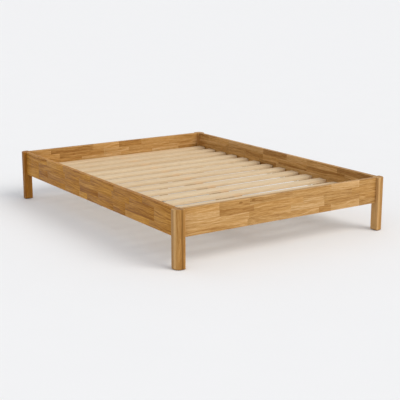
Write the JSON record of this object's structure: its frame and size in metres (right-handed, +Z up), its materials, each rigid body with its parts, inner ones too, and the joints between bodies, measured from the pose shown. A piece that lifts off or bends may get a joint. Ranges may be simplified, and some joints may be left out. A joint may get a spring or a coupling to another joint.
{
  "type": "bed frame",
  "caption": "Low platform bed frame in solid oak: block legs rounded at the outer corner, finger-jointed rails set back between them, and a lift-out slatted base on ledgers and a centre beam.",
  "frame": {"origin": "on the floor at the centre of the bed's footprint", "axes": "+X to the right as seen from the foot end, +Y from the foot end to the head end, +Z up"},
  "size_m": [1.496, 2.016, 0.33],
  "materials": {
    "rail_oak": "finger-jointed oak staves, oiled, satin",
    "leg_oak": "laminated oak post, oiled, satin",
    "slat_birch": "planed birch, unfinished",
    "pine": "planed pine, unfinished",
    "fitting_steel": "zinc-plated pressed steel",
    "hanger_steel": "galvanised folded steel",
    "screw_steel": "zinc-plated",
    "insert_steel": "yellow-passivated zinc",
    "staple_steel": "galvanised wire",
    "strap_webbing": "woven polyester webbing",
    "glide_plastic": "brown nail-on glide",
    "pad_plastic": "moulded, fine texture"
  },
  "bodies": {
    "frame": {"beam_hanger_foot": "hanger_steel", "beam_hanger_head": "hanger_steel", "bolt_inserts": "insert_steel", "centre_beam": "pine", "centre_leg_bolts": "screw_steel", "centre_leg_foot": "pine", "centre_leg_head": "pine", "foot_rail": "rail_oak", "glide_foot_left": "glide_plastic", "glide_foot_right": "glide_plastic", "glide_head_left": "glide_plastic", "glide_head_right": "glide_plastic", "hanger_screws": "screw_steel", "head_rail": "rail_oak", "hook_plate_screws": "screw_steel", "hook_plates_foot_rail": "fitting_steel", "hook_plates_head_rail": "fitting_steel", "hook_plates_side_rail_left": "fitting_steel", "hook_plates_side_rail_right": "fitting_steel", "ledger_screws": "screw_steel", "leg_foot_left": "leg_oak", "leg_foot_right": "leg_oak", "leg_head_left": "leg_oak", "leg_head_right": "leg_oak", "leg_plate_screws": "screw_steel", "leg_plates_foot_left": "fitting_steel", "leg_plates_foot_right": "fitting_steel", "leg_plates_head_left": "fitting_steel", "leg_plates_head_right": "fitting_steel", "leveller_inserts": "insert_steel", "side_rail_left": "rail_oak", "side_rail_right": "rail_oak", "slat_ledger_left": "pine", "slat_ledger_right": "pine"},
    "slat_deck": {"slat_01": "slat_birch", "slat_02": "slat_birch", "slat_03": "slat_birch", "slat_04": "slat_birch", "slat_05": "slat_birch", "slat_06": "slat_birch", "slat_07": "slat_birch", "slat_08": "slat_birch", "slat_09": "slat_birch", "slat_10": "slat_birch", "slat_11": "slat_birch", "slat_12": "slat_birch", "slat_13": "slat_birch", "slat_14": "slat_birch", "slat_strap_left": "strap_webbing", "slat_strap_right": "strap_webbing", "strap_staples": "staple_steel"},
    "leveller_stem_foot": {"leveller_stem_foot": "screw_steel"},
    "leveller_pad_foot": {"leveller_pad_foot": "pad_plastic"},
    "leveller_stem_head": {"leveller_stem_head": "screw_steel"},
    "leveller_pad_head": {"leveller_pad_head": "pad_plastic"}
  },
  "joints": [
    {"name": "deck_lift", "type": "slide", "parent": "frame", "child": "slat_deck", "axis": [0, 0, 1], "range_m": [0, 0.12]},
    {"name": "leveller_foot_height", "type": "slide", "parent": "frame", "child": "leveller_pad_foot", "axis": [0, 0, 1], "range_m": [0, 0.012]},
    {"name": "leveller_foot_turn", "type": "hinge", "parent": "leveller_pad_foot", "child": "leveller_stem_foot", "pos_m": [0, -0.336, 0.03], "axis": [0, 0, 1], "range_deg": [0, 2880]},
    {"name": "leveller_head_height", "type": "slide", "parent": "frame", "child": "leveller_pad_head", "axis": [0, 0, 1], "range_m": [0, 0.012]},
    {"name": "leveller_head_turn", "type": "hinge", "parent": "leveller_pad_head", "child": "leveller_stem_head", "pos_m": [0, 0.336, 0.03], "axis": [0, 0, 1], "range_deg": [0, 2880]}
  ],
  "couplings": [
    {"joint": "leveller_foot_turn", "follows": "leveller_foot_height", "rad_per_m": 4188.8},
    {"joint": "leveller_head_turn", "follows": "leveller_head_height", "rad_per_m": 4188.8}
  ]
}
